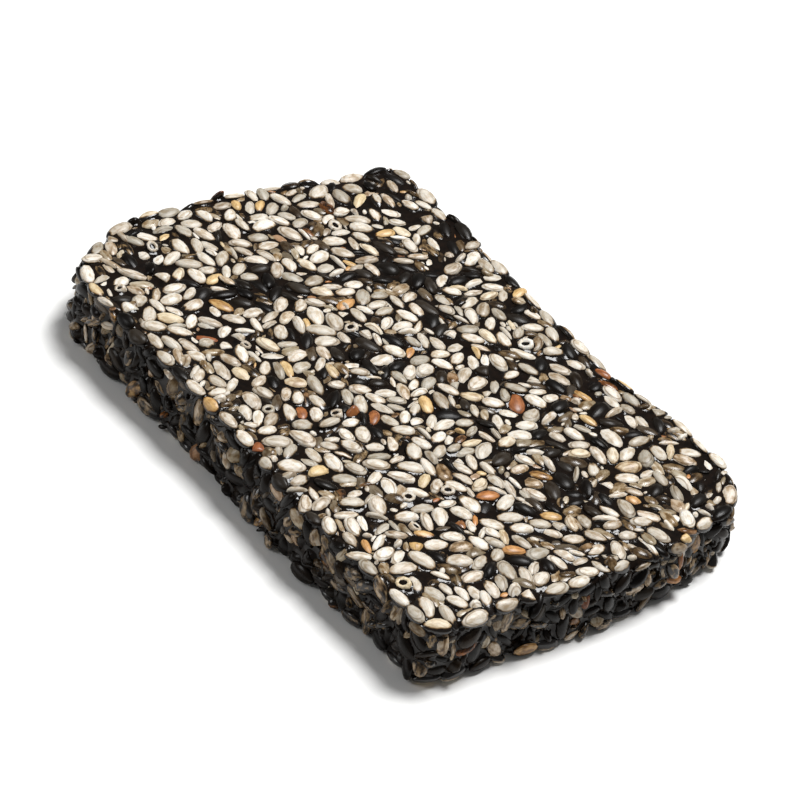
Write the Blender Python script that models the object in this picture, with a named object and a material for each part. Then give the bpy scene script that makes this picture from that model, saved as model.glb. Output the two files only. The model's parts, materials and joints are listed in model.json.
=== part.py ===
"""A slab of sesame brittle: sesame seeds set in dark malt syrup, rolled flat and cut by hand.

The slab is one solid. It lies flat on z = 0 with its long side along Y, and the middle of its
footprint is the origin. Its underside is flat, as it was pressed on the board, its top is gently
wavy, as the rolling pin left it, and its outline and its cut sides are uneven. Units are metres.
"""

import math

import bmesh
import bpy
from mathutils import Vector, noise

# Driving dimensions of the slab before it is made uneven.
WIDTH = 0.0510
LENGTH = 0.0745
THICKNESS = 0.0090

# How round the slab is, seen from above at its four corners, and along its upper and lower edges.
CORNER_RADIUS = {
    "back_left": 0.0095,
    "back_right": 0.0035,
    "front_right": 0.0060,
    "front_left": 0.0032,
}
TOP_RIM = 0.0011
BOTTOM_RIM = 0.0006

# The grid that carries the shape.
CELLS_X = 28
CELLS_Y = 40
CELLS_Z = 6

# Unevenness of the outline. Each swelling is (where it is along the side, how far it reaches
# along the side, how far it stands out). It is flat-topped, and a negative one is a hollow.
FRONT_SWELLINGS = ((0.002, 0.012, 0.0009), (0.023, 0.008, -0.0012), (-0.018, 0.003, 0.0004))
BACK_SWELLINGS = ((-0.007, 0.012, 0.0018), (0.020, 0.007, -0.0010), (0.008, 0.003, 0.0006))
LEFT_SWELLINGS = ((0.006, 0.009, -0.0004), (-0.014, 0.004, 0.0005), (-0.029, 0.004, -0.0004))
RIGHT_SWELLINGS = ((-0.024, 0.010, 0.0024), (0.003, 0.011, -0.0002), (0.020, 0.003, 0.0005))
LEFT_LEAN = 0.0032  # how much further out the left side is at the back than at the front
SPLAY = 0.0006  # the blade leans, so the foot of each side stands out this far past its top

# Unevenness of the surfaces: the height of the lumps, their size, and a shift that picks a pattern.
TOP_WAVES = (0.00030, 0.016, 1.0)
TOP_LUMPS = (0.00012, 0.0035, 3.0)
SIDE_LUMPS = (0.00065, 0.0042, 5.0)
THICKER_AT_BACK = 0.00035  # how much the top rises from the front to the back

SLAB_COLOUR = (0.22, 0.185, 0.147, 1.0)
SLAB_ROUGHNESS = 0.42
SHARP_ANGLE = math.radians(40)
TINY = 1e-6  # smaller than any real difference in size or in place on the grid


def clear_scene():
    """Remove whatever the scene holds."""
    for obj in list(bpy.data.objects):
        bpy.data.objects.remove(obj)


def grid_box():
    """A closed box from -1 to 1 on each axis, whose faces are grids of quads."""
    mesh = bmesh.new()
    bmesh.ops.create_cube(mesh, size=2.0)
    for axis, cells in enumerate((CELLS_X, CELLS_Y, CELLS_Z)):
        for cell in range(1, cells):
            place = Vector((0, 0, 0))
            place[axis] = -1 + 2 * cell / cells
            normal = Vector((0, 0, 0))
            normal[axis] = 1
            whole = list(mesh.verts) + list(mesh.edges) + list(mesh.faces)
            bmesh.ops.bisect_plane(mesh, geom=whole, plane_co=place, plane_no=normal)
    return mesh


def spread(t, half, rim, cells):
    """Where the grid line t, from -1 to 1, lies: the outermost cell is as wide as the rim."""
    inner = 1 - 2 / cells
    if abs(t) <= inner:
        return t / inner * (half - rim)
    return math.copysign(half - rim + (abs(t) - inner) / (1 - inner) * rim, t)


def rim_depth(value, half, rim):
    """How far into the rim a coordinate is: 0 where the rim starts and 1 at the edge."""
    return max(0.0, (abs(value) - (half - rim)) / rim)


def round_rim(point, rim, height):
    """Turn the square edge between a side and the top or the bottom into a quarter round.

    height is how far the point is above the start of the rim, or below it at the bottom.
    """
    across = max(rim_depth(point.x, WIDTH / 2, rim), rim_depth(point.y, LENGTH / 2, rim))
    upward = max(0.0, height / rim)
    if across <= 0 or upward <= 0:
        return upward
    shrink = max(across, upward) / math.hypot(across, upward)
    for axis, half in ((0, WIDTH / 2), (1, LENGTH / 2)):
        depth = rim_depth(point[axis], half, rim)
        if depth > 0:
            point[axis] = math.copysign(half - rim + depth * shrink * rim, point[axis])
    return upward * shrink


def round_corner(point):
    """Turn the square corner, seen from above, into an arc of that corner's radius."""
    side = ("front" if point.y < 0 else "back") + ("_left" if point.x < 0 else "_right")
    radius = CORNER_RADIUS[side]
    centre_x = math.copysign(WIDTH / 2 - radius, point.x)
    centre_y = math.copysign(LENGTH / 2 - radius, point.y)
    out = Vector((point.x - centre_x, point.y - centre_y))
    if out.x * centre_x <= 0 or out.y * centre_y <= 0:
        return
    out = out.normalized() * max(abs(out.x), abs(out.y))
    point.x = centre_x + out.x
    point.y = centre_y + out.y


def swelling(along, entries):
    """How far a side stands out at a place along it."""
    return sum(height * math.exp(-(((along - where) / reach) ** 4)) for where, reach, height in entries)


def make_outline_uneven(point):
    """Shift the outline by the swellings of the nearer sides, fading out towards the middle."""
    u = point.x / (WIDTH / 2)
    v = point.y / (LENGTH / 2)
    right = max(0.0, u) ** 2
    left = max(0.0, -u) ** 2
    back = max(0.0, v) ** 2
    front = max(0.0, -v) ** 2
    x, y = point.x, point.y
    lean = LEFT_LEAN * y / LENGTH
    point.x += right * swelling(y, RIGHT_SWELLINGS) - left * (swelling(y, LEFT_SWELLINGS) + lean)
    point.y += back * swelling(x, BACK_SWELLINGS) - front * swelling(x, FRONT_SWELLINGS)


def unevenness(point, lumps):
    """How far the surface stands out at a point, for lumps given as (height, size, shift)."""
    height, size, shift = lumps
    return height * noise.noise(point / size + Vector((shift, 2 * shift, 3 * shift)))


def roughen_side(point):
    """Push a point of a cut side out by the side's lean and its lumps, which fade at its edges."""
    up = min(1.0, max(0.0, point.z / THICKNESS))
    outward = Vector((point.x / WIDTH, point.y / LENGTH, 0)).normalized()
    lean = SPLAY * (0.5 - up)
    point += outward * (lean + unevenness(point, SIDE_LUMPS) * math.sin(math.pi * up))


def roll_top(point):
    """Lift a point of the upper half by the waves, the lumps and the slope of the top."""
    share = max(0.0, 2 * point.z / THICKNESS - 1)
    slope = THICKER_AT_BACK * point.y / LENGTH
    point.z += share * (unevenness(point, TOP_WAVES) + unevenness(point, TOP_LUMPS) + slope)


def shape_point(grid_point):
    """The place on the finished slab of a point of the grid box."""
    rim = TOP_RIM if grid_point.z > 0 else BOTTOM_RIM
    point = Vector((
        spread(grid_point.x, WIDTH / 2, rim, CELLS_X),
        spread(grid_point.y, LENGTH / 2, rim, CELLS_Y),
        THICKNESS / 2 + spread(grid_point.z, THICKNESS / 2, rim, CELLS_Z),
    ))
    if grid_point.z > 0:
        upward = round_rim(point, rim, point.z - (THICKNESS - rim))
        point.z = THICKNESS - rim + upward * rim if upward > 0 else point.z
    else:
        downward = round_rim(point, rim, rim - point.z)
        point.z = rim - downward * rim if downward > 0 else point.z
    round_corner(point)
    make_outline_uneven(point)
    if max(abs(grid_point.x), abs(grid_point.y)) > 1 - TINY:
        roughen_side(point)
    roll_top(point)
    return point


def flatten_underside(mesh):
    """Make the grid of the underside one flat face."""
    low = [face for face in mesh.faces if all(vert.co.z < TINY for vert in face.verts)]
    for face in low:
        for vert in face.verts:
            vert.co.z = 0.0
    bmesh.ops.dissolve_faces(mesh, faces=low, use_verts=True)


def centre_on_footprint(mesh):
    """Put the middle of the slab's footprint at x = 0, y = 0."""
    for axis in (0, 1):
        values = [vert.co[axis] for vert in mesh.verts]
        middle = (min(values) + max(values)) / 2
        for vert in mesh.verts:
            vert.co[axis] -= middle


def brittle_material():
    """Cream and black seeds under dark syrup, as one even colour."""
    material = bpy.data.materials.new("sesame_brittle")
    material.use_nodes = True
    shader = material.node_tree.nodes["Principled BSDF"]
    shader.inputs["Base Color"].default_value = SLAB_COLOUR
    shader.inputs["Roughness"].default_value = SLAB_ROUGHNESS
    shader.inputs["Metallic"].default_value = 0.0
    return material


def build_slab():
    """The whole slab, as one object."""
    mesh = grid_box()
    for vert in mesh.verts:
        vert.co = shape_point(vert.co)
    flatten_underside(mesh)
    centre_on_footprint(mesh)
    bmesh.ops.recalc_face_normals(mesh, faces=mesh.faces)
    data = bpy.data.meshes.new("brittle_slab")
    mesh.to_mesh(data)
    mesh.free()
    data.materials.append(brittle_material())
    data.shade_smooth()
    data.set_sharp_from_angle(angle=SHARP_ANGLE)
    slab = bpy.data.objects.new("brittle_slab", data)
    bpy.context.scene.collection.objects.link(slab)
    return slab


clear_scene()
build_slab()
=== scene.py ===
# %% [markdown]
# # A slab of sesame brittle
#
# Sesame brittle is malt syrup, boiled until it is nearly black, stirred full of pale and black
# sesame seeds, rolled flat on a board and cut by hand. What we see is almost only seeds, packed
# like cobbles, with glossy dark syrup in the joints between them.
#
# A texture of seeds on a plain slab would look like printed paper as soon as light falls across
# it. So every seed is modelled here: a few shapes are made once and copied a few thousand
# times. We start with the solid slab, which says how large everything is.

import json
import math

import bmesh
import bpy
import numpy as np
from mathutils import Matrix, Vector, noise
from mathutils.bvhtree import BVHTree
from mathutils.kdtree import KDTree

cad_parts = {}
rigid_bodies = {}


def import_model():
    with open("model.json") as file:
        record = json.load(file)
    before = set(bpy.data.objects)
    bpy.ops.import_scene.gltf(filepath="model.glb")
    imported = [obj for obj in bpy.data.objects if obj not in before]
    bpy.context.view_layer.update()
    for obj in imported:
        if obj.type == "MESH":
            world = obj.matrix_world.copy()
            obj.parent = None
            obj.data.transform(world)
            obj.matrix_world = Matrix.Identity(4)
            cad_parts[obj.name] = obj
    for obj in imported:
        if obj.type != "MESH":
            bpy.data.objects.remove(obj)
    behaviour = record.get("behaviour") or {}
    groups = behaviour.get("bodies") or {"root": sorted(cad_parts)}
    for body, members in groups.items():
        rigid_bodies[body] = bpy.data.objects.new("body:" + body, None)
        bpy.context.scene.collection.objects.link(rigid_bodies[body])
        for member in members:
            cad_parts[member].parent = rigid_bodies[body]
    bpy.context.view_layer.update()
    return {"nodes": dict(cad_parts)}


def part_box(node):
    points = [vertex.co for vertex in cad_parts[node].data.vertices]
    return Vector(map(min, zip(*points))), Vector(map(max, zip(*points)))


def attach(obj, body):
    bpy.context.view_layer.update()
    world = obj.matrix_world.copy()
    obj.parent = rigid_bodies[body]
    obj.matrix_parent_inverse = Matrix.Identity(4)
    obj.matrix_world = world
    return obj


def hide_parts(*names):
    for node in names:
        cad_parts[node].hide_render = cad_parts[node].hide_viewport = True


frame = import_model()
slab = frame["nodes"]["brittle_slab"]
low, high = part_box("brittle_slab")
MM = 0.001
rng = np.random.default_rng(11)
print("slab", [round(side / MM, 1) for side in high - low], "mm")

# %% [markdown]
# ## The seed
#
# A sesame seed is a flattened drop, a little over 3 mm long, with one pointed end. A sphere that is
# only stretched would look like a bead, and sculpting would give it more faces than thousands of
# copies can have. So we take a sphere whose poles point along the seed, and make each ring of its
# points narrower or wider, which draws the drop. For a seed that dried bent, the rings are slid
# sideways a little, and for a shrivelled one the broad side is pressed in. The seed is flattened
# later, when each copy gets its size.
#
# The points remember where they were on the sphere. The colours of the seed's tip and margin are
# painted by that.

# %% A helper: choose points in edit mode


def choose(obj, test):
    """In edit mode, select only the points that pass the test."""
    mesh = bmesh.from_edit_mesh(obj.data)
    bpy.ops.mesh.select_all(action="DESELECT")
    for vert in mesh.verts:
        vert.select = test(vert.co)
    mesh.select_flush_mode()
    bmesh.update_edit_mesh(obj.data)


# %% A helper: model one seed
SEED_SIDES = 8
SEED_RINGS = 7
RING_PLACES = [-math.cos(math.pi * ring / SEED_RINGS) for ring in range(1, SEED_RINGS)]
ON_RING = 0.01  # a point this near a ring's place belongs to the ring
BROAD_SIDE = 0.5  # points above this height make the broad side


def model_seed(name, widths, bend=0.0, flat=0.0):
    """Model a seed two units long, wide and thick, pointed towards -X.

    widths scales the rings from the point to the round end, bend slides the middle sideways, and
    flat presses the broad side in.
    """
    bpy.ops.object.select_all(action="DESELECT")
    bpy.ops.mesh.primitive_uv_sphere_add(
        segments=SEED_SIDES, ring_count=SEED_RINGS, radius=1, rotation=(0, math.pi / 2, 0))
    seed = bpy.context.object
    seed.name = name
    bpy.ops.object.transform_apply(location=False, rotation=True, scale=False)
    places = np.array([vert.co for vert in seed.data.vertices])
    remembered = seed.data.attributes.new("seed_place", "FLOAT_VECTOR", "POINT")
    remembered.data.foreach_set("vector", places.ravel())
    bpy.ops.object.mode_set(mode="EDIT")
    for place, width in zip(RING_PLACES, widths):
        choose(seed, lambda co: abs(co.x - place) < ON_RING)
        bpy.ops.transform.resize(value=(1, width, width), center_override=(place, 0, 0))
        bpy.ops.transform.translate(value=(0, bend * (1 - place * place), 0))
    if flat:
        choose(seed, lambda co: co.z > BROAD_SIDE)
        bpy.ops.transform.resize(value=(1, 1, 1 - flat), center_override=(0, 0, BROAD_SIDE))
    bpy.ops.object.mode_set(mode="OBJECT")
    return seed


# %% Model five whole seeds
PLUMP = (0.84, 0.92, 0.98, 1.03, 1.06, 1.15)
seed_shapes = [
    model_seed("plump", PLUMP),
    model_seed("slim", (0.69, 0.82, 0.92, 0.98, 1.00, 1.03), bend=0.05),
    model_seed("bent", (0.79, 0.88, 0.96, 1.00, 1.04, 1.10), bend=0.20, flat=0.3),
    model_seed("broad", (0.97, 1.01, 1.02, 1.03, 1.06, 1.20), bend=-0.06),
    model_seed("pressed", (0.75, 0.90, 1.00, 1.06, 1.04, 1.07), bend=-0.12, flat=0.45),
]
print(len(seed_shapes), "seeds of", len(seed_shapes[0].data.polygons), "faces")

# %% [markdown]
# ## Two broken seeds
#
# The knife cuts some seeds across, and some kernels fell out of their shell when the seeds were
# stirred. A shell that stands on end in the syrup shows as a small ring. Both start as a plump
# seed, so that they match the others. The first is cut by a plane, and the cut is filled. For the
# second, the cut face is inset, which leaves a thin wall, and then pushed down inside. A vertex
# group remembers the hollow, because syrup has run into it.

# %% Break two seeds
BREAK_AT = 0.12
BREAK_SLANT = 0.12
SHELL_INSET = 0.42
HOLLOW_DEPTH = 0.75
HOLLOW_TAPER = 0.6


def break_seed(name, hollow):
    """Cut a plump seed across, and hollow it from the cut if asked."""
    seed = model_seed(name, PLUMP)
    bpy.ops.object.mode_set(mode="EDIT")
    bpy.ops.mesh.select_all(action="SELECT")
    bpy.ops.mesh.bisect(
        plane_co=(BREAK_AT, 0, 0), plane_no=(1, 0, BREAK_SLANT), use_fill=True, clear_outer=True)
    if hollow:
        bpy.ops.mesh.inset(thickness=SHELL_INSET, depth=0)
        bpy.ops.mesh.extrude_region_move(TRANSFORM_OT_translate={"value": (-HOLLOW_DEPTH, 0, 0)})
        bpy.ops.transform.resize(value=(1, HOLLOW_TAPER, HOLLOW_TAPER))
        seed.vertex_groups.new(name="hollow")
        bpy.ops.object.vertex_group_assign()
    bpy.ops.object.mode_set(mode="OBJECT")
    return seed


WHOLE_SHAPES = len(seed_shapes)
HALF, EMPTY = WHOLE_SHAPES, WHOLE_SHAPES + 1
seed_shapes += [break_seed("half", hollow=False), break_seed("empty", hollow=True)]
print("broken seeds have", [len(obj.data.polygons) for obj in seed_shapes[HALF:]], "faces")

# %% [markdown]
# ## Read the shapes as arrays
#
# Thousands of linked objects would be slow, and could not each be tapered or bent. To copy a shape
# we read its points and faces once. A copy is then only its points, turned and scaled, and all
# copies of a kind become one mesh.

# %% Read the shapes


def read_shape(obj):
    """The points, faces, remembered places and hollows of a modelled seed."""
    points = np.array([vert.co for vert in obj.data.vertices])
    places = np.zeros(points.size)
    obj.data.attributes["seed_place"].data.foreach_get("vector", places)
    hollow = np.array([1.0 if vert.groups else 0.0 for vert in obj.data.vertices])
    faces = [tuple(face.vertices) for face in obj.data.polygons]
    return {"points": points, "faces": faces, "places": places.reshape(-1, 3), "hollow": hollow}


shapes = [read_shape(obj) for obj in seed_shapes]
for obj in seed_shapes:
    bpy.data.objects.remove(obj)
print("points a seed:", [len(shape["points"]) for shape in shapes])

# %% [markdown]
# ## Scatter the seeds
#
# The rolling pin and the board lay the seeds of the top and the underside flat, and the knife
# leaves those of the cut sides pointing every way. So each seed gets its place, its size, its roll
# about its own length and its pitch against the surface by where it lands: on top, underneath or
# on a side. More than a third are sunken. They make a second layer that the syrup half drowns,
# seen between the others. One in ten is only a broken bit.

# %% How many seeds each side gets
STEEP = 0.6  # a surface whose normal rises or falls by less than this belongs to a cut side
SEEDS_PER_MM2 = {"top": 0.40, "under": 0.305, "cut": 0.45}

slab.data.calc_loop_triangles()
corners = np.array([vert.co for vert in slab.data.vertices])
triangles = np.array([tri.vertices for tri in slab.data.loop_triangles])
surface = BVHTree.FromPolygons([Vector(co) for co in corners], triangles.tolist())
edge_a = corners[triangles[:, 1]] - corners[triangles[:, 0]]
edge_b = corners[triangles[:, 2]] - corners[triangles[:, 0]]
crossed = np.cross(edge_a, edge_b)
areas = np.linalg.norm(crossed, axis=1) / 2
upward = crossed[:, 2] / (2 * areas)
sides = {"top": upward > STEEP, "under": upward < -STEEP, "cut": np.abs(upward) <= STEEP}
counts = {}
for name, mask in sides.items():
    counts[name] = int(areas[mask].sum() / MM**2 * SEEDS_PER_MM2[name])
print("seeds:", counts)

# %% Drop them on the surface


def random_points(mask, count):
    """Points spread evenly over the chosen triangles."""
    chosen = np.flatnonzero(mask)
    picked = rng.choice(chosen, count, p=areas[chosen] / areas[chosen].sum())
    u = rng.random((count, 1))
    v = rng.random((count, 1))
    fold = (u + v) > 1
    u, v = np.where(fold, 1 - u, u), np.where(fold, 1 - v, v)
    return corners[triangles[picked, 0]] + u * edge_a[picked] + v * edge_b[picked]


starts = np.vstack([random_points(sides[name], counts[name]) for name in sides])
side_of = np.repeat(list(sides), [counts[name] for name in sides])
on_cut = side_of == "cut"
total = len(starts)
print(total, "seeds in all,", int(on_cut.sum()), "of them on the cut sides")

# %% Give each seed its size
LENGTH, SHORTEST, LONGEST = (3.29, 0.38), 2.3, 4.2  # in mm, the first as mean and spread
BIT_LENGTHS = (0.9, 1.7)  # in mm
BIT_CHANCE = 0.10
SUNKEN_CHANCE = 0.38
WIDTH, NARROWEST, WIDEST = (0.585, 0.05), 0.46, 0.72  # as shares of the length
THICKNESS, THINNEST, THICKEST = (0.56, 0.06), 0.42, 0.72  # as shares of the width

length = np.clip(rng.normal(*LENGTH, total), SHORTEST, LONGEST) * MM
is_bit = rng.random(total) < BIT_CHANCE
is_sunken = rng.random(total) < SUNKEN_CHANCE
length = np.where(is_bit, rng.uniform(*BIT_LENGTHS, total) * MM, length)
width = length * np.clip(rng.normal(*WIDTH, total), NARROWEST, WIDEST)
thick = width * np.clip(rng.normal(*THICKNESS, total), THINNEST, THICKEST)
print("mean seed", round(length.mean() / MM, 2), "x", round(width.mean() / MM, 2), "mm")

# %% Give each seed its lie


def either(chance, one, other):
    """For each seed, the first value with that chance and else the second."""
    return np.where(rng.random(total) < chance, one, other)


# On the top and the underside, a few seeds lie on their narrow side, and a few stand on end.
flat_roll = either(0.17, rng.uniform(0.9, 1.57, total), np.abs(rng.normal(0, 0.28, total)))
roll = np.where(on_cut, rng.uniform(0, math.pi, total), flat_roll * rng.choice([-1, 1], total))
flat_pitch = either(0.05, rng.uniform(0.8, 1.35, total), rng.normal(0.02, 0.10, total))
pitch = np.where(on_cut, rng.normal(0, 0.45, total), flat_pitch)
print("mean pitch", round(math.degrees(np.abs(pitch).mean())), "degrees")

# %% Say how far each seed sinks into the surface
BIT_SINK = 0.15  # in mm, as are all the numbers below
sink = (rng.normal(0.10, 0.13, total) + either(0.5, 0.0, 0.04)) * MM
sink += np.where(on_cut, rng.uniform(-0.15, 0.50, total), 0) * MM
sink += np.where(is_sunken, rng.uniform(0.16, 0.42, total), np.where(is_bit, BIT_SINK, 0)) * MM
sink = np.where(side_of == "under", 0.5 * np.maximum(sink, 0), sink)
print("mean sink", round(sink.mean() / MM, 2), "mm")

# %% [markdown]
# ## Pack the seeds
#
# Scattered seeds lie through each other, and leave bare patches. Real ones were pressed into
# place by their neighbours. A physics simulation of thousands of seeds would take very long, so we
# do a simple one of our own: a seed is a stiff rod that carries four balls, small at its point and
# large at its middle. Balls that overlap push their rods apart, a rod keeps its length, and both
# its ends are held at their depth under the slab's surface. The balls start too large, so that the
# seeds spread evenly, and shrink to their true size while this is repeated. The seeds end up side
# by side like cobbles, round the slab's edges too. The sunken ones get smaller balls, since they
# reach under their neighbours.

# %% Rods and balls
TAIL, NOSE = -0.62, 0.55  # where the rod's ends are, along the half length of the seed
BALLS_ALONG = np.array([0.0, 0.36, 0.70, 1.0])
BALL_SIZES = np.array([0.70, 0.95, 1.02, 0.85])
SUNKEN_BALLS = 0.55
MOST_PROUD = 0.3  # the share of its half height by which a seed may stand out of the surface

half_height = np.sqrt(
    (length / 2 * np.sin(pitch)) ** 2
    + np.cos(pitch) ** 2 * ((width / 2 * np.sin(roll)) ** 2 + (thick / 2 * np.cos(roll)) ** 2))
half_breadth = np.sqrt((width / 2 * np.cos(roll)) ** 2 + (thick / 2 * np.sin(roll)) ** 2)
depth = half_height + np.maximum(sink, -MOST_PROUD * half_height)
tail_depth = depth - TAIL * length / 2 * np.sin(pitch)
nose_depth = depth - NOSE * length / 2 * np.sin(pitch)
rod = (NOSE - TAIL) * length / 2
ball_radius = half_breadth[:, None] * BALL_SIZES * np.where(is_sunken, SUNKEN_BALLS, 1.0)[:, None]
print("rods", round(rod.mean() / MM, 2), "mm, balls up to", round(ball_radius.max() / MM, 2), "mm")

# %% [markdown]
# Two more rules keep the slab's edges neat. A seed that lies flat on top or underneath stays inside
# the cut sides, apart from the little by which the knife left it standing out, and a seed of a cut
# side stays between the top and the board.

# %% The rules of the packing
WALL_REACH = 2.0 * MM  # further than this from a cut side, a flat seed can't stick out of it
UNDER_INSET = 0.8 * MM  # how much further in the seeds of the underside stay

steep = np.flatnonzero(sides["cut"])
walls = BVHTree.FromPolygons([Vector(co) for co in corners], triangles[steep].tolist())
inside_by = half_breadth * rng.uniform(0.45, 0.95, total)
inside_by = inside_by + np.where(side_of == "under", UNDER_INSET, 0)


def keep_inside(points):
    """Move flat seeds in from the cut sides, and those of the cut sides off the top and the board."""
    kept = points.copy()
    for index in np.flatnonzero(~on_cut):
        place, normal, _, _ = walls.find_nearest(Vector(points[index]), WALL_REACH)
        if place is None:
            continue
        outward = np.array((normal.x, normal.y, 0)) / math.hypot(normal.x, normal.y)
        missing = inside_by[index] - (np.array(place) - points[index]) @ outward
        kept[index] -= outward * max(0.0, missing)
    limits = np.minimum(half_breadth, high.z / 2)[on_cut]
    kept[on_cut, 2] = np.clip(points[on_cut, 2], limits, high.z - limits)
    return kept


def hold_at_depth(points, depths):
    """Move each point to its depth under the nearest place of the slab's surface."""
    held = np.empty_like(points)
    normals = np.empty_like(points)
    for index, point in enumerate(points):
        place, normal, _, _ = surface.find_nearest(Vector(point))
        normals[index] = normal
        held[index] = place - normal * depths[index]
    return held, normals


# %% Find the balls that may touch


def near_pairs(middles, reach):
    """All pairs of seeds whose middles are closer than reach."""
    tree = KDTree(len(middles))
    for index, middle in enumerate(middles):
        tree.insert(middle, index)
    tree.balance()
    pairs = []
    for index, middle in enumerate(middles):
        pairs += [(index, other) for _, other, _ in tree.find_range(middle, reach) if other > index]
    return np.array(pairs)


def ball_pairs(balls, radii, seed_pairs, slack):
    """The pairs of balls, on different seeds, that are closer than slack to touching."""
    number = balls.shape[1]
    one, two = np.meshgrid(np.arange(number), np.arange(number))
    first = (seed_pairs[:, :1] * number + one.ravel()).ravel()
    second = (seed_pairs[:, 1:] * number + two.ravel()).ravel()
    flat = balls.reshape(-1, 3)
    gap = np.linalg.norm(flat[first] - flat[second], axis=1) - radii[first] - radii[second]
    near = gap < slack
    return first[near], second[near]


# %% Push the seeds apart
TINY = 1e-9  # keeps two balls at the same place from dividing by zero


def pushes(balls, radii, first, second):
    """How far each ball is pushed by those that overlap it."""
    flat = balls.reshape(-1, 3)
    apart = flat[first] - flat[second]
    distance = np.linalg.norm(apart, axis=1) + TINY
    overlap = np.maximum(0, radii[first] + radii[second] - distance)
    move = apart * (0.5 * overlap / distance)[:, None]
    total_push = np.zeros_like(flat)
    for axis in range(3):
        total_push[:, axis] = np.bincount(first, move[:, axis], len(flat))
        total_push[:, axis] -= np.bincount(second, move[:, axis], len(flat))
    return total_push.reshape(balls.shape), overlap


# %% A helper: repeat it until they have settled
SOFTNESS = 0.35  # how much of each push a seed takes at once
SWELL_AT_FIRST = 1.45  # how much too large the balls start
SWELL_LOST = 0.75  # what is taken off that by the last round, though never below their true size
ROUNDS_PER_SEARCH = 6
SEED_REACH = 4.4 * MM  # seeds whose middles are further apart than this don't touch
BALL_SLACK = 0.6 * MM  # balls this near to touching may touch before the next search


def settle(tails, noses, rounds):
    """Pack the rods, shrinking their balls to true size on the way."""
    along = BALLS_ALONG[None, :, None]
    for turn in range(rounds):
        swell = max(1.0, SWELL_AT_FIRST - SWELL_LOST * turn / rounds)
        radii = (ball_radius * swell).ravel()
        balls = tails[:, None] * (1 - along) + noses[:, None] * along
        if turn % ROUNDS_PER_SEARCH == 0:
            seed_pairs = near_pairs((tails + noses) / 2, SEED_REACH)
            first, second = ball_pairs(balls, radii, seed_pairs, BALL_SLACK)
        push, overlap = pushes(balls, radii, first, second)
        tails = tails + SOFTNESS * (push * (1 - along)).sum(axis=1)
        noses = noses + SOFTNESS * (push * along).sum(axis=1)
        middle = (tails + noses) / 2
        half = (noses - tails) / 2
        half *= (rod / 2 / np.linalg.norm(half, axis=1))[:, None]
        tails, _ = hold_at_depth(keep_inside(middle - half), tail_depth)
        noses, _ = hold_at_depth(keep_inside(middle + half), nose_depth)
    return keep_inside(tails), keep_inside(noses), overlap


# %% Run the packing
ROUNDS = 150
starts, start_normals = hold_at_depth(starts, depth)
heading = rng.normal(size=(total, 3))
heading -= start_normals * (heading * start_normals).sum(axis=1)[:, None]
heading /= np.linalg.norm(heading, axis=1)[:, None]
half_rods = heading * rod[:, None] / 2
tails, noses, overlap = settle(starts - half_rods, starts + half_rods, ROUNDS)
mean_overlap, worst_overlap = overlap.mean() / MM, overlap.max() / MM
print("overlap left: mean", round(mean_overlap, 3), "mm, worst", round(worst_overlap, 2), "mm")

# %% Read off where each seed lies
BIT_DEPTH = 0.56 * MM  # no bit lies shallower than this, so that even a small one reaches the syrup

forward = noses - tails
forward /= np.linalg.norm(forward, axis=1)[:, None]
middles = tails - forward * (TAIL * length / 2)[:, None]
middles, out = hold_at_depth(middles, np.where(is_bit, np.maximum(depth, BIT_DEPTH), depth))
lies_on_cut = np.abs(out[:, 2]) < STEEP
print(int(lies_on_cut.sum()), "seeds lie on the cut sides now")

# %% [markdown]
# ## Which seed is which
#
# Most seeds on the faces are hulled and pale. They lie in drifts, with patches of black seeds
# between, as the stirring left them. Chance alone would spread the two kinds too evenly, so the
# chance follows a smooth noise, which makes the drifts. About one seed in eighteen is toasted
# darker. The cut sides went through the black middle of the slab and were smeared with syrup by
# the knife, so they have fewer pale seeds, under more syrup.

# %% Sort the seeds into kinds
DRIFT_SIZE = 7.5 * MM
SMALL_DRIFT_SIZE = 3.2 * MM
PALE_ON_CUT = 0.36
PALE_ELSEWHERE, LEAST_PALE, MOST_PALE = 0.90, 0.3, 0.98
DRIFT_STRENGTH = 0.65
TOASTED_ON_CUT, TOASTED_ELSEWHERE = 0.06, 0.055


def drift(points, size, shift):
    """Smooth noise at each point, whose lumps are about that size."""
    return np.array([noise.noise(Vector(point) / size + Vector((shift, 0, 0))) for point in points])


patches = drift(middles, DRIFT_SIZE, 3.0) + 0.5 * drift(middles, SMALL_DRIFT_SIZE, 9.0)
pale_in_drifts = np.clip(PALE_ELSEWHERE + DRIFT_STRENGTH * patches, LEAST_PALE, MOST_PALE)
pale_chance = np.where(lies_on_cut, PALE_ON_CUT, pale_in_drifts)
toasted_chance = np.where(lies_on_cut, TOASTED_ON_CUT, TOASTED_ELSEWHERE)
draw = rng.random(total)
kind = np.where(draw < pale_chance, "pale", "black")
kind = np.where(rng.random(total) < toasted_chance, "toasted", kind)
kind = np.where(is_sunken, "sunken", kind)
print({name: int((kind == name).sum()) for name in ("pale", "toasted", "black", "sunken")})

# %% Choose each seed's shape
SHAPE_SHARES = [0.36, 0.22, 0.18, 0.12, 0.12]
HALF_CHANCE = 0.03
ON_END = 0.75  # a seed pitched more than this stands on end
SHELL_CHANCE = 0.6  # how many of the seeds that stand on end are empty shells
SHELL_THICKNESS = 0.85  # an empty shell's thickness, as a share of its width

shape_of = rng.choice(WHOLE_SHAPES, total, p=SHAPE_SHARES)
shape_of = np.where(rng.random(total) < HALF_CHANCE, HALF, shape_of)
stands = (pitch > ON_END) & ~lies_on_cut
is_shell = stands & ~is_sunken & ~is_bit & (rng.random(total) < SHELL_CHANCE)
shape_of = np.where(is_shell, EMPTY, shape_of)
thick = np.where(is_shell, SHELL_THICKNESS * width, thick)
print(int(is_shell.sum()), "empty shells")

# %% [markdown]
# A shell that stands on end has lost the end that would have shown, so its ring would lie deep in
# the syrup. It is lifted by as much as it lost.

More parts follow.
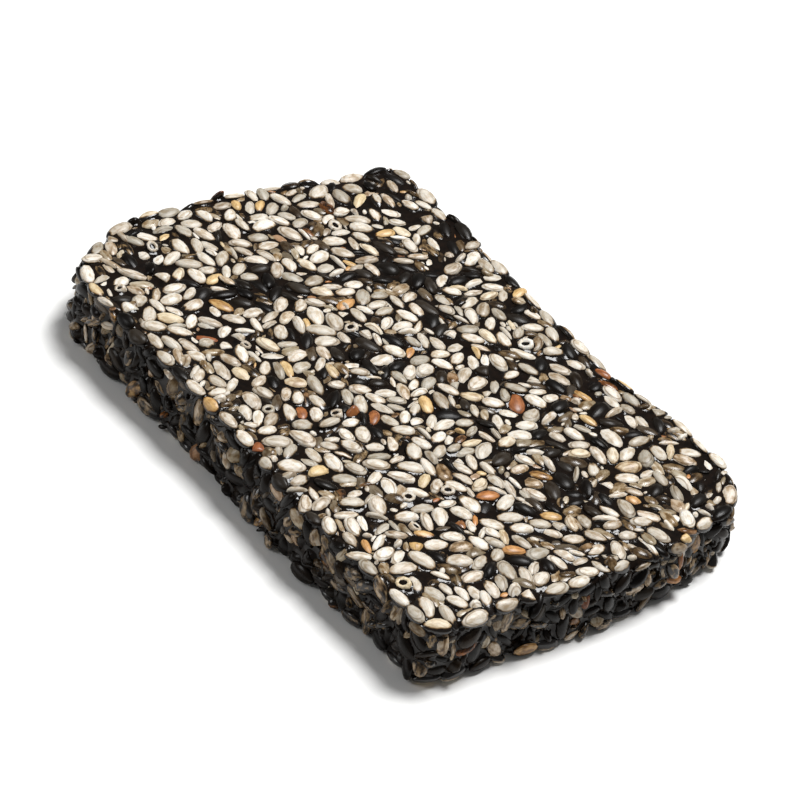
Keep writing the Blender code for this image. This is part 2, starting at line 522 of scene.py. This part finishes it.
# %% Lift the empty shells
lost_end = np.where(is_shell, (1 - BREAK_AT) * length / 2 * np.sin(pitch), 0)
middles += out * lost_end[:, None]
print("shells lifted by up to", round(lost_end.max() / MM, 2), "mm")

# %% Choose each seed's tone, its film of syrup, its taper and its curve
LEAST_FILM_ON_CUT, MOST_FILM_ON_CUT = 0.2, 0.97

tone = rng.random(total)
film = np.clip(rng.normal(0.10, 0.10, total) - 0.25 * patches, 0, 0.5)
# the film grows toward the bottom of the cut sides, so the seeds there are darker toward the bottom
film_on_cut = rng.uniform(0.25, 0.90, total) + 0.25 * (0.6 - middles[:, 2] / high.z)
film_on_cut = np.clip(film_on_cut, LEAST_FILM_ON_CUT, MOST_FILM_ON_CUT)
film = np.where(lies_on_cut, film_on_cut, film)
film = np.where(is_sunken, rng.uniform(0.15, 0.85, total), film)
taper = rng.normal(0, 0.08, total)
curve = rng.normal(0, 0.07, total)
mark = rng.random(total)
print("mean film", round(film.mean(), 2), "and on the cut sides", round(film[lies_on_cut].mean(), 2))

# %% [markdown]
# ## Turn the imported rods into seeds
#
# A seed's own directions are its length, its breadth and its thickness. Rolled by its roll, they
# are the three rows of a turn, and with the three half sizes they place all the shape's points at
# once. Before that, each copy is tapered and curved a little in its own way, so that no two seeds
# are quite alike. Nothing may reach below the board that the slab was pressed on, so seeds that
# would are lifted.

# %% A helper: place the copies
BOARD_GAP = 0.03 * MM

side = np.cross(out, forward)
side /= np.linalg.norm(side, axis=1)[:, None]
lift = np.cross(forward, side)
rolled_side = side * np.cos(roll)[:, None] + lift * np.sin(roll)[:, None]
rolled_lift = lift * np.cos(roll)[:, None] - side * np.sin(roll)[:, None]


def place_seeds(members, scale=1.0):
    """The points of the given seeds, each an array of its own, in one list."""
    placed = []
    for seed in members:
        half = np.array([length[seed], width[seed], thick[seed]]) / 2 * scale
        local = shapes[shape_of[seed]]["points"].copy()
        local[:, 1] *= 1 + taper[seed] * local[:, 0]
        local[:, 2] *= 1 - taper[seed] * local[:, 0]
        local[:, 1] += curve[seed] * (1 - local[:, 0] ** 2)
        local *= half
        turn = np.stack([forward[seed], rolled_side[seed], rolled_lift[seed]])
        points = local @ turn + middles[seed]
        points[:, 2] += max(0.0, BOARD_GAP - points[:, 2].min())
        placed.append(points)
    return placed


# %% A helper: join the copies


def join_copies(name, members, placed):
    """One object whose mesh holds all the placed seeds."""
    faces = []
    offset = 0
    for seed, points in zip(members, placed):
        shape = shapes[shape_of[seed]]
        faces += [tuple(offset + corner for corner in face) for face in shape["faces"]]
        offset += len(points)
    mesh = bpy.data.meshes.new(name)
    mesh.from_pydata(np.vstack(placed).tolist(), [], faces)
    obj = bpy.data.objects.new(name, mesh)
    bpy.context.scene.collection.objects.link(obj)
    return obj


# %% [markdown]
# The seeds of one kind share one material, so what differs from seed to seed has to travel with
# the mesh. Each point carries its place on the seed, how high it stands out of the syrup, whether
# it is in a hollow, and the tone, the film and the mark of its seed.

# %% A helper: join the seeds of one kind


def join_seeds(name, members):
    """One mesh of the given seeds, which carries what their materials need to know."""
    placed = place_seeds(members)
    obj = join_copies(name, members, placed)
    places = np.vstack([shapes[shape_of[seed]]["places"] for seed in members])
    place_layer = obj.data.attributes.new("seed_place", "FLOAT_VECTOR", "POINT")
    place_layer.data.foreach_set("vector", places.ravel())
    rises = []
    for seed, points in zip(members, placed):
        height = (points - middles[seed]) @ out[seed] + lost_end[seed]
        rises.append(height / half_height[seed])
    sizes = [len(points) for points in placed]
    per_point = {
        "rise": np.concatenate(rises),
        "hollow": np.concatenate([shapes[shape_of[seed]]["hollow"] for seed in members]),
        "tone": np.repeat(tone[members], sizes),
        "film": np.repeat(film[members], sizes),
        "mark": np.repeat(mark[members], sizes),
    }
    for label, values in per_point.items():
        layer = obj.data.attributes.new(label, "FLOAT", "POINT")
        layer.data.foreach_set("value", values.astype(np.float32))
    obj.data.shade_smooth()
    triangles_in = sum(len(face.vertices) - 2 for face in obj.data.polygons)
    print(name, len(members), "seeds,", triangles_in, "triangles")
    return obj


# %% Make the seeds of each kind
pale_seeds = join_seeds("pale_seeds", np.flatnonzero(kind == "pale"))
toasted_seeds = join_seeds("toasted_seeds", np.flatnonzero(kind == "toasted"))
black_seeds = join_seeds("black_seeds", np.flatnonzero(kind == "black"))
sunken_seeds = join_seeds("sunken_seeds", np.flatnonzero(kind == "sunken"))

# %% [markdown]
# ## The syrup
#
# The syrup fills the slab behind the seeds, and creeps up between them. A plain dark slab would do
# for its colour, but the seeds would look stuck on it. So we make it from two things joined: the
# slab, shrunk so that the seeds stand out of it, and all the seeds, a little smaller than they are.
# A voxel remesh melts them into one skin, and smoothing it draws the hollow fillets that a thick
# liquid leaves round everything it wets.

# %% Helpers: take up one object, and apply a modifier to it


def take_up(obj):
    """Make the object the only selected one, and the active one."""
    bpy.ops.object.select_all(action="DESELECT")
    obj.select_set(True)
    bpy.context.view_layer.objects.active = obj


def apply_modifier(obj, kind_name, **settings):
    """Add a modifier, set it up and apply it."""
    take_up(obj)
    modifier = obj.modifiers.new(kind_name.lower(), kind_name)
    for setting, value in settings.items():
        setattr(modifier, setting, value)
    bpy.ops.object.modifier_apply(modifier=modifier.name)


# %% Shrink the slab
SYRUP_BELOW = 0.58 * MM  # how deep the syrup lies under the slab's surface
SYRUP_BEHIND_CUT = 0.60 * MM  # how much deeper still it lies behind the cut sides
SYRUP_UNDER = 0.45 * MM  # how high its underside is above the board
SAME_POINT = 1e-6

syrup = bpy.data.objects.new("syrup", slab.data.copy())
bpy.context.scene.collection.objects.link(syrup)
take_up(syrup)
bpy.ops.object.mode_set(mode="EDIT")
bpy.ops.mesh.select_all(action="SELECT")
bpy.ops.mesh.remove_doubles(threshold=SAME_POINT)
bpy.ops.object.mode_set(mode="OBJECT")
apply_modifier(syrup, "DISPLACE", strength=-SYRUP_BELOW, mid_level=0.0)
bpy.ops.object.mode_set(mode="EDIT")
choose(syrup, lambda co: co.z < 1.2 * SYRUP_BELOW)  # the underside
bpy.ops.transform.translate(value=(0, 0, SYRUP_UNDER - SYRUP_BELOW))
bpy.ops.mesh.select_all(action="SELECT")
shrink = [1 - SYRUP_BEHIND_CUT / (side / 2) for side in (high.x - low.x, high.y - low.y)]
bpy.ops.transform.resize(value=(*shrink, 1), center_override=(0, 0, 0))
bpy.ops.object.mode_set(mode="OBJECT")
print("syrup core", [round(side / MM, 1) for side in syrup.dimensions], "mm")

# %% Melt the slab and the seeds into one skin
SEED_CORE = 0.86  # the size of the seeds inside the skin, as a share of their own
SYRUP_VOXEL = 0.4 * MM

everyone = np.arange(total)
seed_cores = join_copies("seed_cores", everyone, place_seeds(everyone, SEED_CORE))
take_up(syrup)
seed_cores.select_set(True)
bpy.ops.object.join()
apply_modifier(syrup, "REMESH", mode="VOXEL", voxel_size=SYRUP_VOXEL)
apply_modifier(syrup, "SMOOTH", factor=0.5, iterations=3)
print("melted skin:", len(syrup.data.polygons) * 2, "triangles")

# %% [markdown]
# A seed that stands far out may melt into a drop of its own, which would hang in the air. So we
# keep only the one skin that has the point nearest the slab's middle. Then we measure each seed's
# middle against it: one that is further out than the seed's half height would be a loose seed.

# %% Keep the one skin, and look for loose seeds
skin_point = min(syrup.data.vertices, key=lambda vert: vert.co.length).co.copy()
bpy.ops.object.mode_set(mode="EDIT")
choose(syrup, lambda co: co == skin_point)
bpy.ops.mesh.select_linked()
bpy.ops.mesh.select_all(action="INVERT")
bpy.ops.mesh.delete(type="VERT")
bpy.ops.object.mode_set(mode="OBJECT")
syrup.data.materials.clear()
syrup.data.shade_smooth()
skin = BVHTree.FromPolygons(
    [vert.co for vert in syrup.data.vertices], [face.vertices for face in syrup.data.polygons])
outside = np.empty(total)
for index, middle in enumerate(middles):
    place, normal, _, _ = skin.find_nearest(Vector(middle))
    outside[index] = (Vector(middle) - place).dot(normal)
print("syrup skin:", len(syrup.data.polygons) * 2, "triangles")
print("loose seeds:", int((outside > half_height).sum()))

# %% [markdown]
# ## Materials
#
# All colours come from nodes. Painted images would need one picture for each of thousands of
# seeds, while noise on a seed's own places, shifted by its mark, is different on every one of them.

# %% Helpers for node trees


def new_material(name):
    """A new material, its node tree and its shader."""
    material = bpy.data.materials.new(name)
    material.use_nodes = True
    return material, material.node_tree, material.node_tree.nodes["Principled BSDF"]


def add(tree, kind_name, inputs=None, **settings):
    """Add a node, and set its inputs, given by name, and its other settings."""
    node = tree.nodes.new(kind_name)
    for name, value in (inputs or {}).items():
        node.inputs[name].default_value = value
    for setting, value in settings.items():
        setattr(node, setting, value)
    return node


def feed(tree, socket, value):
    """Link a socket to an input, or set the input if the value is a number or a colour."""
    if isinstance(value, (int, float, tuple)):
        socket.default_value = value
    else:
        tree.links.new(value, socket)


def attribute(tree, name, output="Fac"):
    """A value that the mesh's points carry."""
    return add(tree, "ShaderNodeAttribute", attribute_name=name).outputs[output]


def calculate(tree, operation, *values):
    """A Math node whose inputs are sockets or numbers."""
    node = add(tree, "ShaderNodeMath", operation=operation)
    for index, value in enumerate(values):
        feed(tree, node.inputs[index], value)
    return node.outputs[0]


def smooth_step(tree, value, start, end):
    """0 below start, 1 above end and smooth between."""
    limits = {"From Min": start, "From Max": end}
    node = add(tree, "ShaderNodeMapRange", limits, interpolation_type="SMOOTHSTEP")
    tree.links.new(value, node.inputs["Value"])
    return node.outputs[0]


# %% Helpers for colours and noise
MIX_FACTOR, MIX_ONE, MIX_TWO, MIX_RESULT = 0, 6, 7, 2  # the Mix node's sockets for colours


def blend_colours(tree, factor, one, two, mode="MIX"):
    """A Mix node for colours, whose inputs are sockets or plain colours."""
    node = add(tree, "ShaderNodeMix", data_type="RGBA", blend_type=mode)
    for index, value in ((MIX_FACTOR, factor), (MIX_ONE, one), (MIX_TWO, two)):
        feed(tree, node.inputs[index], value)
    return node.outputs[MIX_RESULT]


def ramp(tree, factor, stops):
    """A Color Ramp with the given (place, colour) stops."""
    node = add(tree, "ShaderNodeValToRGB")
    elements = node.color_ramp.elements
    while len(elements) < len(stops):
        elements.new(0.5)
    for element, (place, colour) in zip(elements, stops):
        element.position = place
        element.color = (*colour, 1)
    tree.links.new(factor, node.inputs[0])
    return node.outputs[0]


def noise_on(tree, places, scale, detail, roughness):
    """A noise texture on the given places."""
    node = add(tree, "ShaderNodeTexNoise", {"Scale": scale, "Detail": detail, "Roughness": roughness})
    tree.links.new(places, node.inputs["Vector"])
    return node.outputs[0]


def bump(tree, shader, height, strength, distance):
    """Roughen a shader's surface by a height."""
    node = add(tree, "ShaderNodeBump", {"Strength": strength, "Distance": distance})
    tree.links.new(height, node.inputs["Height"])
    tree.links.new(node.outputs[0], shader.inputs["Normal"])


# %% [markdown]
# ### Seed colours
#
# A hulled seed is cream, not white: some greyer, some yellower. Fine streaks run along it, its
# point is browner, and some show the margin of the kernel as a fine line. The black seeds and the
# toasted ones are made by the same recipe with other colours, because under their colour they are
# the same seeds.

# %% Streaks and mottling
MARK_SHIFT = (31, 47, 59)  # how far a seed's mark moves its noise, so that no two seeds match
ALONG_SEED = (0.7, 5.0, 5.0)  # stretches noise into streaks along the seed


def streaks_and_mottle(tree, place, mark_value):
    """Streaks along the seed and mottling all over it, in other places on each seed."""
    shift = add(tree, "ShaderNodeVectorMath", operation="SCALE")
    shift.inputs[0].default_value = MARK_SHIFT
    tree.links.new(mark_value, shift.inputs["Scale"])
    shifted = add(tree, "ShaderNodeVectorMath", operation="ADD")
    tree.links.new(place, shifted.inputs[0])
    tree.links.new(shift.outputs[0], shifted.inputs[1])
    stretched = add(tree, "ShaderNodeMapping", {"Scale": ALONG_SEED})
    tree.links.new(shifted.outputs[0], stretched.inputs["Vector"])
    streaks = noise_on(tree, stretched.outputs[0], scale=1.3, detail=3.0, roughness=0.6)
    mottle = noise_on(tree, shifted.outputs[0], scale=1.6, detail=3.0, roughness=0.55)
    return streaks, mottle


# %% The colour of a clean seed
STREAK_SHADE = (0.42, 0.36, 0.27, 1)
MOTTLE_SHADE = (0.62, 0.52, 0.38, 1)
MARGIN_SHADE = (0.35, 0.27, 0.18, 1)
TIP_SHADE = (0.34, 0.22, 0.11, 1)
MOTTLE_DEPTH = 0.75
TIP_DEPTH = 0.55
MARGIN_AT = 0.74  # how far out from the seed's middle the line of its margin runs


def shade(tree, colour, amount, depth, tint):
    """Multiply a colour by a tint where the amount is high, at most by the depth."""
    factor = calculate(tree, "MULTIPLY", amount, depth)
    return blend_colours(tree, factor, colour, tint, "MULTIPLY")


def margin_line(tree, along, across, mark_value):
    """The fine line of the kernel's margin, on the seeds whose mark is high."""
    squares = [calculate(tree, "POWER", part, 2.0) for part in (along, across)]
    from_middle = calculate(tree, "SQRT", calculate(tree, "ADD", *squares))
    from_line = calculate(tree, "ABSOLUTE", calculate(tree, "SUBTRACT", from_middle, MARGIN_AT))
    line = calculate(tree, "SUBTRACT", 1.0, smooth_step(tree, from_line, 0.02, 0.09))
    return calculate(tree, "MULTIPLY", line, smooth_step(tree, mark_value, 0.45, 0.8))


def clean_colour(tree, place, mark_value, streaks, mottle, tones, streak_depth, margin_depth):
    """The seed's colour before any syrup has touched it."""
    colour = ramp(tree, attribute(tree, "tone"), tones)
    colour = shade(tree, colour, smooth_step(tree, streaks, 0.42, 0.72), streak_depth, STREAK_SHADE)
    colour = shade(tree, colour, smooth_step(tree, mottle, 0.44, 0.66), MOTTLE_DEPTH, MOTTLE_SHADE)
    parts = add(tree, "ShaderNodeSeparateXYZ")
    tree.links.new(place, parts.inputs[0])
    line = margin_line(tree, parts.outputs[0], parts.outputs[1], mark_value)
    colour = shade(tree, colour, line, margin_depth, MARGIN_SHADE)
    tip = smooth_step(tree, calculate(tree, "MULTIPLY", parts.outputs[0], -1.0), 0.72, 0.98)
    return shade(tree, colour, tip, TIP_DEPTH, TIP_SHADE)


# %% [markdown]
# Syrup stains the flanks of the seeds where they sink into it, and lies as a thin brown film on
# some of them. The darkening of the low flanks is also painted shade, for the crease where each
# seed meets the syrup. Thin syrup is brown and thick syrup is black, so the syrup and the painted
# shade first tint the seed brown and then turn it nearly black. Where they lie, the surface gets
# glossier.

# %% The cover of syrup, and painted shade on the seeds' low flanks
# the dark and the brown that the syrup and the painted shade of the seeds' low flanks give a seed
SYRUP_STAIN_AND_SHADE = (0.007, 0.0045, 0.003, 1)
FILM_AND_SHADE_BROWN = (0.52, 0.38, 0.23, 1)


def syrup_cover_and_shade(tree, mark_value, mottle):
    """How thickly syrup covers each place of the seed, with painted shade on its low flanks, from 0
    to 1.
    """
    ragged = calculate(tree, "MULTIPLY", calculate(tree, "SUBTRACT", mottle, 0.5), 0.5)
    rise = calculate(tree, "ADD", attribute(tree, "rise"), ragged)
    rise = calculate(tree, "MULTIPLY_ADD", mark_value, 0.25, rise)
    # painted shade: the low flanks of each seed, where it meets the syrup, darken like a syrup stain
    stained_and_shaded = calculate(tree, "SUBTRACT", 1.0, smooth_step(tree, rise, 0.36, 0.70))
    uneven = calculate(tree, "ADD", smooth_step(tree, mottle, 0.25, 0.75), 0.5)
    filmed = calculate(tree, "MULTIPLY", attribute(tree, "film"), uneven)
    cover_and_shade = calculate(tree, "MAXIMUM", stained_and_shaded, filmed)
    return calculate(tree, "MAXIMUM", cover_and_shade, attribute(tree, "hollow"))


# %% The recipe for a seed
WET_ROUGHNESS = 0.2


def seed_material(name, tones, streak_depth, margin_depth, roughness, soft, shine=0.5):
    """A material for one kind of seed, from the colours of its tones."""
    material, tree, shader = new_material(name)
    place = attribute(tree, "seed_place", "Vector")
    mark_value = attribute(tree, "mark")
    streaks, mottle = streaks_and_mottle(tree, place, mark_value)
    colour = clean_colour(
        tree, place, mark_value, streaks, mottle, tones, streak_depth, margin_depth)
    cover_and_shade = syrup_cover_and_shade(tree, mark_value, mottle)
    # the syrup and the painted shade of the low flanks tint the seed brown, then turn it nearly black
    browned_and_shaded = smooth_step(tree, cover_and_shade, 0.0, 0.6)
    darkened = smooth_step(tree, cover_and_shade, 0.35, 1.0)
    colour = blend_colours(tree, browned_and_shaded, colour, FILM_AND_SHADE_BROWN, "MULTIPLY")
    colour = blend_colours(tree, darkened, colour, SYRUP_STAIN_AND_SHADE)
    tree.links.new(colour, shader.inputs["Base Color"])
    rough = add(tree, "ShaderNodeMapRange", {"To Min": roughness, "To Max": WET_ROUGHNESS})
    tree.links.new(cover_and_shade, rough.inputs["Value"])
    tree.links.new(rough.outputs[0], shader.inputs["Roughness"])
    bump(tree, shader, streaks, strength=0.25, distance=0.08 * MM)
    shader.inputs["Specular IOR Level"].default_value = shine
    shader.inputs["Subsurface Weight"].default_value = soft
    shader.inputs["Subsurface Scale"].default_value = 0.5 * MM
    shader.inputs["Subsurface Radius"].default_value = (1.0, 0.75, 0.5)
    return material


# %% The tones of each kind
# A seed's tone is drawn evenly from 0 to 1, so the places below are shares of the seeds.
PALE_TONES = [
    (0.0, (0.36, 0.33, 0.27)),
    (0.2, (0.52, 0.475, 0.40)),
    (0.5, (0.65, 0.605, 0.53)),
    (0.80, (0.72, 0.675, 0.60)),
    (0.93, (0.77, 0.74, 0.68)),
    (1.0, (0.62, 0.50, 0.30)),
]
TOASTED_TONES = [
    (0.0, (0.68, 0.52, 0.28)),
    (0.45, (0.62, 0.41, 0.17)),
    (0.80, (0.52, 0.22, 0.065)),
    (1.0, (0.24, 0.065, 0.02)),
]
BLACK_TONES = [
    (0.0, (0.004, 0.003, 0.0025)),
    (0.7, (0.010, 0.008, 0.0065)),
    (1.0, (0.040, 0.033, 0.026)),
]
SUNKEN_TONES = [
    (0.0, (0.045, 0.037, 0.029)),
    (0.2, (0.16, 0.13, 0.09)),
    (0.5, (0.36, 0.31, 0.22)),
    (0.85, (0.55, 0.50, 0.40)),
    (1.0, (0.34, 0.15, 0.05)),
]

# %% Finish the seeds
pale_finish = seed_material(
    "pale_sesame", PALE_TONES, streak_depth=0.4, margin_depth=0.75, roughness=0.48, soft=0.15)
toasted_finish = seed_material(
    "toasted_sesame", TOASTED_TONES, streak_depth=0.5, margin_depth=0.5, roughness=0.42, soft=0.1)
black_finish = seed_material(
    "black_sesame", BLACK_TONES, streak_depth=0.5, margin_depth=0.2, roughness=0.36, soft=0.0,
    shine=0.15)
sunken_finish = seed_material(
    "sunken_sesame", SUNKEN_TONES, streak_depth=0.5, margin_depth=0.5, roughness=0.25, soft=0.05,
    shine=0.3)
for seeds, finish in (
    (pale_seeds, pale_finish),
    (toasted_seeds, toasted_finish),
    (black_seeds, black_finish),
    (sunken_seeds, sunken_finish),
):
    seeds.data.materials.append(finish)
    print(seeds.name, "wears", finish.name)

# %% [markdown]
# ### Syrup
#
# Boiled malt syrup is so dark that it only shows by its shine. A perfectly smooth skin would look
# like wet paint, but the real one has fine wrinkles and specks that break the shine into sparkles.
# A fine noise gives both the wrinkles and a faint change of colour.

# %% The syrup's material
WRINKLES_PER_METRE = 1300.0
SYRUP_TONES = [(0.3, (0.003, 0.002, 0.0015)), (0.7, (0.009, 0.005, 0.003))]

material, tree, shader = new_material("malt_syrup")
coordinates = add(tree, "ShaderNodeTexCoord")
wrinkles = noise_on(tree, coordinates.outputs["Object"], WRINKLES_PER_METRE, 2.0, 0.5)
tree.links.new(ramp(tree, wrinkles, SYRUP_TONES), shader.inputs["Base Color"])
bump(tree, shader, wrinkles, strength=0.5, distance=0.12 * MM)
shader.inputs["Roughness"].default_value = 0.12
shader.inputs["Specular IOR Level"].default_value = 0.2
syrup.data.materials.append(material)
print(syrup.name, "wears", material.name)

# %% [markdown]
# ## Put the pieces on the frame
#
# Every piece rides on the slab's one body, and the syrup stands for the solid slab, which is no
# longer shown. The sunken seeds have a darker material, but they are pale sesame too, so they
# share that slot.

# %% Ride the slab's body, and stop showing the slab
for piece, slot_name in (
    (syrup, "malt_syrup"),
    (pale_seeds, "pale_sesame"),
    (toasted_seeds, "toasted_sesame"),
    (black_seeds, "black_sesame"),
    (sunken_seeds, "pale_sesame"),
):
    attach(piece, "root")
    print(piece.name, "is made of", slot_name)
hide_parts("brittle_slab")

# %% [markdown]
# ## Floor, light and camera
#
# The slab lies on a plain pale floor. A large soft light, high on the slab's right, keeps the top
# bright and the cut sides dark, and a weaker one on its left lifts the left side out of the black.
# Small hard lights would make every glossy seed glitter.

# %% The floor
FLOOR_SIZE = 6
bpy.ops.mesh.primitive_plane_add(size=FLOOR_SIZE, location=(0, 0, 0))
floor = bpy.context.object
floor.name = "floor"
material, tree, shader = new_material("pale_floor")
shader.inputs["Base Color"].default_value = (0.80, 0.80, 0.79, 1)
shader.inputs["Roughness"].default_value = 0.7
floor.data.materials.append(material)
print("floor", FLOOR_SIZE, "m across")

# %% The lights
world = bpy.data.worlds.new("studio")
world.use_nodes = True
background = world.node_tree.nodes["Background"]
background.inputs["Color"].default_value = (1.0, 1.0, 1.0, 1)
background.inputs["Strength"].default_value = 0.17
bpy.context.scene.world = world


def soft_light(name, place, size, power):
    """A square area light that points at the slab."""
    data = bpy.data.lights.new(name, "AREA")
    data.size = size
    data.energy = power
    light = bpy.data.objects.new(name, data)
    light.location = place
    light.rotation_euler = (-Vector(place)).to_track_quat("-Z", "Y").to_euler()
    bpy.context.scene.collection.objects.link(light)
    print(name, "light", power, "W")


soft_light("key", (0.33, 0.06, 0.84), 0.32, 11.8)
soft_light("side", (-0.7, 0.35, 0.55), 0.30, 2.1)

# %% The camera
AZIMUTH, ELEVATION, ROLL = math.radians(-45), math.radians(38.5), math.radians(14)
DISTANCE = 0.40
FOCAL_LENGTH = 152  # in mm, as lenses are named
target = Vector((0.0, 0.0, high.z / 2))
back = Vector((
    math.sin(AZIMUTH) * math.cos(ELEVATION),
    -math.cos(AZIMUTH) * math.cos(ELEVATION),
    math.sin(ELEVATION),
))
camera_data = bpy.data.cameras.new("camera")
camera_data.lens = FOCAL_LENGTH
camera = bpy.data.objects.new("camera", camera_data)
camera.location = target + back * DISTANCE
camera.rotation_euler = back.to_track_quat("Z", "Y").to_euler()
camera.rotation_euler.rotate_axis("Z", ROLL)
bpy.context.scene.collection.objects.link(camera)
bpy.context.scene.camera = camera
bpy.context.scene.view_settings.view_transform = "Standard"
print("camera at", [round(part, 3) for part in camera.location], "m")
